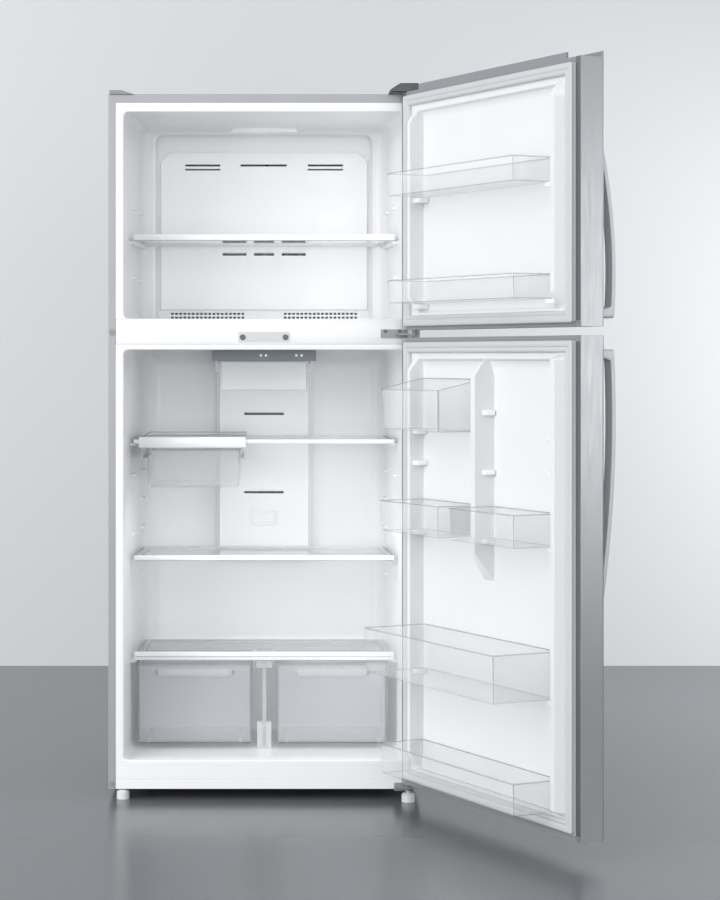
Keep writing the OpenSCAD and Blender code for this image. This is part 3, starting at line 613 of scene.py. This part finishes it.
def front_lines(name, z, front, back):
    """Fine dark lines of painted shade along a shelf's front bar and, on the crisper cover, its
    rear rail.
    """
    half, between = shelf_half(front), shelf_half(back) - RAIL_WIDE
    if name != "crisper_cover":
        return [bar((-half + 3, front - 3.4, z - 0.4), (half - 3, front + 1, z + 0.3), 0.2)]
    return [bar((-between, back - 17, z + RAIL_HIGH), (between, back - 15, z + 9.6), 0.2),
            bar((-half + 4, front - 4.3, z + 8.2), (half - 4, front - 3.6, z + 9.4), 0.2)]


def make_shelf(name):
    """Solid front bar, clear side and rear rails, and thin dark lines of painted shade along their
    cut edges.
    """
    node = name + "_frame"
    glass = cad_box(name + "_glass")
    z = glass[0][2] - GLASS_LAP["down"]
    front, back = glass[0][1] - GLASS_LAP["front"], glass[1][1] + GLASS_LAP["back"]
    half, between = shelf_half(front), shelf_half(back) - RAIL_WIDE
    top = cad_box(node)[1][2] if name != "upper_shelf" else z + 10
    solid = [bar((-half, front - BAR_FRONT, z), (half, front + BAR_DEPTH, top), 2.0)]
    clear = [both_sides([shelf_strip(front + BAR_DEPTH, back, RAIL_WIDE, 0, z, z + RAIL_HIGH)]),
             bar((-between, back - RAIL_WIDE, z), (between, back, z + RAIL_HIGH), 0.8)]
    lines = [both_sides([shelf_strip(front + 3, back, 1.4, -0.3, z + 6.5, z + 9.3)])]
    if name == "upper_shelf":
        fascia, hangers, edges = deli_hanger(z, front, back)
        solid.append(fascia)
        clear += hangers
        lines += edges
    else:
        lines += front_lines(name, z, front, back)
    piece(name + "_front_bar", merge(*solid), "shelf_trim", name, (node,))
    piece(name + "_rails", merge(*clear), "clear_rail", name)
    piece(name + "_edge_lines", merge(*lines), "painted_shade_line", name)


# ---------------------------------------------------------------- doors
def smooth(value):
    """Eased step from 0 to 1."""
    value = max(0.0, min(1.0, value))
    return value * value * (3 - 2 * value)


def stations(marks, step, spread):
    """Sorted grid positions: close together round each mark, `step` apart elsewhere."""
    low, high = min(marks), max(marks)
    points = {round(low + (high - low) * i / int((high - low) / step), 2)
              for i in range(int((high - low) / step) + 1)}
    for mark in marks:
        points |= {round(mark + d, 2) for d in spread if low <= mark + d <= high}
    return sorted(points)


# Depths of a door liner's surfaces and half widths of its dikes, seal and flange
FLOOR, BASE, CREST, RIB_TOP = -22.0, -12.0, 12.0, 22.0
DIKE_IN, DIKE_TOP, GASKET_IN, FLANGE = 288.0, 305, 325.0, 352.6
RECESS_INSET = 27
DIKE_END, FREEZER_FREE_END, FRIDGE_FREE_END = 46, 34, 14

# Levels of each door's seal, and the lugs that carry its bins as (x0, x1, levels)
SEALS = {"freezer": (1137, 1685), "fridge": (62, 1100)}
RIB_LEVELS = (564, 626, 1022, 1063)
SIDE_LUGS = {"freezer": (262, 294, (1438, 1189)), "fridge": (270, 294, (896, 822, 660, 334))}
RIB_LUGS = ((12, 28, (896, 813, 660)), (-28, -12, (946, 813, 660)))

# Depths of a lug: in the liner, where its rounding starts, and its outer end
LUG_ROOT, LUG_EASE, LUG_TOP = -20.0, 3.5, 6.0

# Painted shade: a dark strip on each panel return inside its opening edges, standing for the shadow
# gap by the gasket: from, to, and its distance from the ends
LIP_SHADE_FROM, LIP_SHADE_TO, LIP_SHADE_END = 1.2, 18.3, 13
SEAL_HALF = 352


def door_liner(name, seal, free_end):
    """Moulded door liner as one height field: flange, recess and side dikes."""
    (_, _, z_low), (_, _, z_high) = closed_box(name)
    z0, z1 = seal[0] + RECESS_INSET, seal[1] - RECESS_INSET

    def depth(x, z):
        ax = abs(x)
        if ax > GASKET_IN or z < z0 or z > z1:
            return BASE
        up = smooth((ax - DIKE_IN) / 5)
        down = smooth((GASKET_IN - ax) / 20)
        reach = DIKE_END if x > 0 else free_end
        ends = min(smooth((z - z0 - 1) / reach), smooth((z1 - z - 1) / reach))
        side = BASE + (CREST - BASE) * min(down, ends)
        lip = 1 - min(smooth((z - z0 - 4) / 5), smooth((z1 - 12 - z) / 6))
        middle = FLOOR + (BASE - FLOOR) * lip
        return middle + (side - middle) * up

    fine = (-3, -1.5, 0, 1.5, 3)
    half = [DIKE_IN, DIKE_IN + 5, DIKE_TOP, GASKET_IN, FLANGE]
    xs = stations([-x for x in half] + half, 24, fine)
    zs = stations([z_low, z0, z0 + 8, z0 + 16, z0 + DIKE_END,
                   z1 - DIKE_END, z1 - 14, z1 - 5, z1, z_high], 20, fine)
    verts = [(x, depth(x, z), z) for z in zs for x in xs]
    wide = len(xs)
    faces = [(j * wide + i, j * wide + i + 1, (j + 1) * wide + i + 1, (j + 1) * wide + i)
             for j in range(len(zs) - 1) for i in range(wide - 1)]
    return verts, faces


def rib(foot, crest_low, crest_high, point, root=21.0, crest=9.0):
    """Tapered middle rib: sloped foot, flat crest, pointed top."""
    base = FLOOR - 1
    verts = [(-root, base, foot), (root, base, foot),
             (-root, FLOOR, foot), (-crest, RIB_TOP, crest_low),
             (crest, RIB_TOP, crest_low), (root, FLOOR, foot),
             (-root, FLOOR, crest_high), (-crest, RIB_TOP, crest_high),
             (crest, RIB_TOP, crest_high), (root, FLOOR, crest_high),
             (0, BASE, point),
             (-root, base, crest_high), (root, base, crest_high), (0, base, point)]
    faces = [(0, 1, 5, 2), (2, 5, 4, 3), (2, 3, 7, 6), (3, 4, 8, 7), (4, 5, 9, 8), (6, 7, 10),
             (7, 8, 10), (8, 9, 10), (0, 2, 6, 11), (1, 12, 9, 5), (11, 6, 10, 13), (12, 13, 10, 9),
             (0, 11, 13, 12, 1)]
    return verts, faces


def lug(x0, x1, z):
    """Support lug of a bin: a rounded block with its outer end drawn in."""
    flat = outline(x0, x1, z - 12, z - 0.5, [3.0] * 4, 3)
    rings = [along_y(y, flat) for y in (LUG_ROOT, LUG_EASE)]
    rings += [[(u + (x0 + x1 - 2 * u) * k, y, v + (2 * z - 12.5 - 2 * v) * k) for u, v in flat]
              for y, k in ((5.2, 0.04), (LUG_TOP, 0.12))]
    return loft(rings)


def frame_sweep(x_half, z0, z1, profile, radius):
    """Sweeps profile points (inset, y) round a rectangle with rounded corners."""
    rings = [along_y(y, outline(-x_half + inset, x_half - inset, z0 + inset, z1 - inset,
                                [max(radius - inset, 0.6)] * 4, 5)) for inset, y in profile]
    verts, faces = loft(rings, False, False)
    count, last = len(rings[0]), len(rings) - 1
    faces += [(last * count + j, last * count + (j + 1) % count, (j + 1) % count, j)
              for j in range(count)]
    return verts, faces


# Section of a gasket, as (inset from its outer edge, y): base, bellows, magnet pocket, inner lip
GASKET = ((0.8, -11.9), (0.2, -10.6), (1.2, -9.2), (3.2, -8.2), (1.2, -7.0), (0.2, -5.4),
          (0.4, -3.0), (2.0, -1.4), (5.0, -0.8), (11.0, -0.6), (13.0, -1.4), (14.0, -3.2),
          (15.5, -3.4), (17.0, -1.8), (20.0, -1.0), (23.0, -1.6), (24.6, -3.6), (25.6, -6.5),
          (25.8, -9.0), (25.2, -11.9))

# A handle's thickness, the length of its blunt foot, and the steps along the rest
STRAP, FOOT_LENGTH, BOW_STEPS = 11.0, 30, 44


def bow(t):
    """Stand-off of a handle along its length, as a share of the full stand-off."""
    if t < 0.25:
        return 1 - 0.10 * (1 - t / 0.25) ** 2
    return max(0.0, math.cos(math.radians((t - 0.25) * 120))) ** 0.8


def handle(name):
    """Bowed strap with a blunt foot at one end that runs into the door at the other."""
    (x0, y_out, z0), (x1, y_face, z1) = closed_box(name)
    blunt, end = (z0, z1) if name.startswith("freezer") else (z1, z0)
    length = end - blunt
    step = math.copysign(1.0, length)
    stand = y_face - y_out
    spots = [0.0, 0.5, 1.6, 3.5, 8.0, 15.0, 17.0, 18.5, 20.5, 24.0]
    spots += [FOOT_LENGTH + (abs(length) - FOOT_LENGTH) * i / BOW_STEPS
              for i in range(BOW_STEPS + 1)]
    rings = []
    for s in spots:
        t = s / abs(length)
        out = max(stand * bow(t), 3.0)
        under = max(0.0, out - STRAP) * smooth((s - 15) / 10)
        ease = 3.0 * (1 - min(1.0, s / 3.5)) ** 2
        flat = outline(x0 + ease, x1 - ease, y_face - out + ease, y_face - min(under, out - 2.0),
                       [4.2, 4.2, 1.2, 1.2], 4)
        rings.append([(u, v, blunt + step * s) for u, v in flat])
    return loft(rings)


def make_lugs(kind):
    """Lugs at both sides of a door and, on the fridge door, on its rib."""
    x0, x1, levels = SIDE_LUGS[kind]
    lugs = [lug(x0, x1, z) for z in levels]
    lugs += [mirror_x(part) for part in lugs]
    if kind == "fridge":
        lugs += [lug(left, right, z) for left, right, heights in RIB_LUGS for z in heights]
    piece(kind + "_door_liner_lugs", merge(*lugs), "door_liner", kind + "_door", swung=True)


def make_door(kind, free_end):
    """Liner, lugs, gasket, a dark strip of painted shade on each of the panel's turned-in returns,
    and the handle of one door.
    """
    door, liner, seal = kind + "_door", kind + "_door_liner", SEALS[kind]
    piece(liner + "_moulding", door_liner(liner, seal, free_end), "door_liner", door, (liner,),
          True, sharp=70)
    make_lugs(kind)
    piece(kind + "_gasket_seal", frame_sweep(SEAL_HALF, seal[0], seal[1], GASKET, 6.0),
          "gasket_rubber", door, (kind + "_gasket",), True, sharp=60)
    (x0, _, z0), (_, y1, z1) = closed_box(door + "_panel")
    # Painted shade: a dark strip on each return stands for the shadow gap between gasket and panel
    lip_shade = both_sides([bar((x0 + LIP_SHADE_FROM, y1 - 0.2, z0 + LIP_SHADE_END),
                           (x0 + LIP_SHADE_TO, y1 + 0.4, z1 - LIP_SHADE_END), 0.2)])
    piece(door + "_lips", lip_shade, "painted_shade_steel", door, swung=True)
    piece(kind + "_handle_bar", handle(kind + "_handle"), "handle_steel", door,
          (kind + "_handle",), True, sharp=50)


def make_doors():
    """Both doors, and the fridge door's rib."""
    make_door("freezer", FREEZER_FREE_END)
    piece("fridge_door_rib", rib(*RIB_LEVELS), "door_liner", "fridge_door", swung=True, bevel=1.2)
    make_door("fridge", FRIDGE_FREE_END)


# ---------------------------------------------------------------- small fittings
CONTROL_LIGHTS_X, CONTROL_LIGHTS_Z, CONTROL_LIGHT_R = (-7.6, 4.7, 79.5, 92.4), 1068.5, 3.4

# The lamp window in the duct: half width, levels, and its raised rim as (inset, y from the face)
WINDOW_HALF, WINDOW_LEVELS = 37, (624, 664)
WINDOW_RIM = ((0, -0.1), (0.8, -1.4), (2.4, -1.4), (3.2, 0.6), (6.5, 0.6), (7.3, -1.0),
              (8.6, -1.0), (9.4, 0.2))
DUCT_SEAM_X, DUCT_SEAM_LEVELS, DUCT_HOOK_Z = (-118.6, -117.2), (546, 1046), 1046


def dot(x, y, z, r, depth=1.2):
    """Shallow round lens facing the front."""
    rings = []
    for share, out in ((1, 0), (0.96, depth * 0.6), (0.7, depth * 0.9), (0.3, depth)):
        turns = [math.radians(15 * i) for i in range(24)]
        rings.append([(x + r * share * math.cos(a), y - out, z + r * share * math.sin(a))
                      for a in turns])
    return loft(rings)


def make_control_lights():
    """The four small lights of the control strip."""
    face = cad_box("control_panel")[0][1]
    dots = [dot(x, face + 1.2, CONTROL_LIGHTS_Z, CONTROL_LIGHT_R) for x in CONTROL_LIGHTS_X]
    piece("control_lights", merge(*dots), "lamp_lens", "cabinet")


def make_duct_trim():
    """Seams at the duct's sides, the rim of its lamp window and its two upper hooks."""
    duct = cad_box("air_duct")
    face, reach = duct[0][1], duct[1][0] - 3
    (left, right), (low, high) = DUCT_SEAM_X, DUCT_SEAM_LEVELS
    seams = both_sides([bar((left, face + 12.6, low), (right, face + 13.8, high), 0.2)])
    piece("duct_seams", seams, "plate_grey", "cabinet")
    z0, z1 = WINDOW_LEVELS
    rings = [along_y(face + y, outline(-WINDOW_HALF + i, WINDOW_HALF - i, z0 + i, z1 - i,
                                       [4.0] * 4, 4)) for i, y in WINDOW_RIM]
    hooks = [bar((x - 4, face - 6, DUCT_HOOK_Z), (x + 4, face + 1, DUCT_HOOK_Z + 12), 1.2)
             for x in (-reach, reach)]
    piece("duct_window", merge(loft(rings, False, True), *hooks), "white_liner", "cabinet")


def make_fittings():
    """The crossbar's front, the control strip's lights and the duct's trim."""
    low, high = cad_box("crossbar")
    piece("crossbar_front", bar(low, high, 1.5), "white_liner", "cabinet", ("crossbar",))
    make_control_lights()
    make_duct_trim()


# CAD nodes with no bevel, and the bevels that differ from the usual one, in mm
NO_BEVEL = ("crossbar_plate", "freezer_shelf_glass", "upper_shelf_glass", "lower_shelf_glass",
            "crisper_cover_glass", "cabinet_insulation", "freezer_door_insulation",
            "fridge_door_insulation", "evaporator_coil", "condenser_coil", "compressor",
            "evaporator_fan", "condenser_fan")
USUAL_BEVEL = 0.8
BEVELS = {"cabinet_shell": 1.2, "freezer_door_panel": 0.5, "fridge_door_panel": 0.5,
          "freezer_door_caps": 1.2, "fridge_door_caps": 1.2, "hinge_cover": 2.0, "trim_plugs": 1.2,
          "screws": 0.3, "lamps": 1.0, "rear_panel": 0.3, "compressor_cover": 0.3,
          "base_panel": 0.5, "control_panel": 1.0}
CAD_WELD_M = 0.00002


def round_cad():
    """Weld and a small bevel on every hard-edged CAD node that stays."""
    for name, obj in NODES.items():
        if name in NO_BEVEL:
            continue
        weld = obj.modifiers.new("weld", "WELD")
        weld.merge_threshold = CAD_WELD_M
        add_bevel(obj, BEVELS.get(name, USUAL_BEVEL))


dress_cad()
round_cad()
make_cavities()
make_ledges()
make_bins()
make_deli_drawer()
make_crisper("left_crisper")
make_crisper("right_crisper")
for shelf in SHELVES:
    make_shelf(shelf)
make_doors()
make_fittings()


# ---------------------------------------------------------------- stage, in metres
STAGE_SIZE, WALL_Y = 30, 2.33

# Name, place, aim, size and power of the studio lights, and of the soft ones inside
FILL = "fill_front"
STUDIO_LIGHTS = (
    ("key_left", (-2.8, -3.6, 2.8), (0, 0.2, 0.9), (2.2, 2.6), 74),
    ("low_left", (-3.2, -1.9, 0.75), (0.5, -0.4, 0.7), (1.4, 1.4), 50),
    (FILL, (0.2, -5.2, 1.5), (0, 0.3, 0.9), (3.0, 2.4), 66),
    ("edge_right", (3.4, -2.1, 1.15), (0.6, -0.5, 1.05), (1.0, 1.3), 13),
    ("wall_right", (2.2, 1.1, 1.0), (1.5, WALL_Y, 0.75), (0.8, 1.6), 15),
    ("wall_top_left", (-2.6, 0.6, 3.0), (-1.3, WALL_Y, 2.1), (1.2, 1.0), 16),
    ("floor_right", (2.9, 0.2, 1.5), (1.9, 0.6, 0.0), (1.2, 1.0), 12))
INNER_LIGHTS = (
    ("freezer_lamp", (0, 0.14, 1.64), (0, 0.2, 1.2), (0.45, 0.2), 0.14),
    ("fridge_lamp", (0, 0.1, 1.05), (0, 0.2, 0.5), (0.5, 0.18), 0.26),
    ("lower_lamp", (0, 0.03, 0.70), (0, 0.3, 0.2), (0.5, 0.1), 0.50),
    ("freezer_side", (0.30, 0.03, 1.40), (-0.33, 0.2, 1.40), (0.08, 0.4), 0.13),
    ("fridge_side", (0.30, 0.03, 0.62), (-0.33, 0.2, 0.62), (0.08, 0.8), 0.30))
WORLD_COLOUR, WORLD_STRENGTH = (0.94, 0.96, 1, 1), 0.70
LENS_COLOUR, LENS_STRENGTH = (1.0, 0.99, 0.97, 1), 0.12


def stage_plane(name, at, rotation, mat):
    """A square plane of the stage."""
    bpy.ops.mesh.primitive_plane_add(size=STAGE_SIZE, location=at, rotation=rotation)
    plane = bpy.context.object
    plane.name = name
    plane.data.materials.append(mat)


def seen_from_front(mat):
    """Lets a stage plane hide nothing from a camera behind or below it."""
    side = add(mat, "ShaderNodeNewGeometry")
    clear = add(mat, "ShaderNodeBsdfTransparent")
    mix = add(mat, "ShaderNodeMixShader")
    link(mat, side.outputs["Backfacing"], mix.inputs["Fac"])
    nodes = mat.node_tree.nodes
    link(mat, nodes["Principled BSDF"].outputs["BSDF"], mix.inputs[1])
    link(mat, clear.outputs["BSDF"], mix.inputs[2])
    link(mat, mix.outputs["Shader"], nodes["Material Output"].inputs["Surface"])
    return mat


def make_stage():
    """Plain floor and wall, each seen from its own front only."""
    floor_mat = seen_from_front(material("studio_floor", (0.12, 0.128, 0.137), 0.24))
    wall_mat = seen_from_front(material("studio_wall", (0.70, 0.71, 0.72), 0.9))
    stage_plane("studio_floor", (0, 0, 0), (0, 0, 0), floor_mat)
    upright = (math.radians(90), 0, 0)
    stage_plane("studio_wall", (0, WALL_Y, STAGE_SIZE / 2), upright, wall_mat)


def area_light(name, at, aim, size, power):
    """A rectangular light at one point, turned towards another."""
    data = bpy.data.lights.new(name, "AREA")
    data.shape = "RECTANGLE"
    data.size, data.size_y = size
    data.energy = power
    obj = bpy.data.objects.new(name, data)
    bpy.context.scene.collection.objects.link(obj)
    obj.location = at
    obj.rotation_euler = (Vector(aim) - Vector(at)).to_track_quat("-Z", "Y").to_euler()
    return obj


def light_lens():
    """Makes the lamp lenses shine softly."""
    bsdf = MATERIALS["lamp_lens"].node_tree.nodes["Principled BSDF"]
    bsdf.inputs["Emission Color"].default_value = LENS_COLOUR
    bsdf.inputs["Emission Strength"].default_value = LENS_STRENGTH


def make_world():
    """An even, faintly blue surround."""
    world = bpy.data.worlds.new("studio")
    bpy.context.scene.world = world
    world.use_nodes = True
    background = world.node_tree.nodes["Background"]
    background.inputs["Color"].default_value = WORLD_COLOUR
    background.inputs["Strength"].default_value = WORLD_STRENGTH


def spared_by_fill():
    """Collection of the door liner pieces, marked as not lit by the light that it is given to."""
    unlit = bpy.data.collections.new("not_lit_from_the_front")
    for obj in bpy.data.objects:
        if "_door_liner_moulding" in obj.name or obj.name == "fridge_door_rib":
            unlit.objects.link(obj)
    for member in unlit.collection_objects:
        member.light_linking.link_state = "EXCLUDE"
    return unlit


def make_lights():
    """The studio's lights, and the ones inside that the camera doesn't see."""
    for name, at, aim, size, power in STUDIO_LIGHTS:
        lamp = area_light(name, at, aim, size, power)
        if name == FILL:
            lamp.light_linking.receiver_collection = spared_by_fill()
    for name, at, aim, size, power in INNER_LIGHTS:
        lamp = area_light(name, at, aim, size, power)
        lamp.visible_camera = False


def make_camera():
    """Level camera straight in front, framed by its shift."""
    data = bpy.data.cameras.new("camera")
    data.sensor_width = SENSOR
    data.lens = LENS
    data.shift_x, data.shift_y = SHIFT
    cam = bpy.data.objects.new("camera", data)
    cam.location = CAMERA_AT
    cam.rotation_euler = (math.radians(90), 0, 0)
    bpy.context.scene.collection.objects.link(cam)
    bpy.context.scene.camera = cam


make_stage()
make_world()
light_lens()
make_lights()
make_camera()
bpy.context.scene.view_settings.view_transform = "Standard"
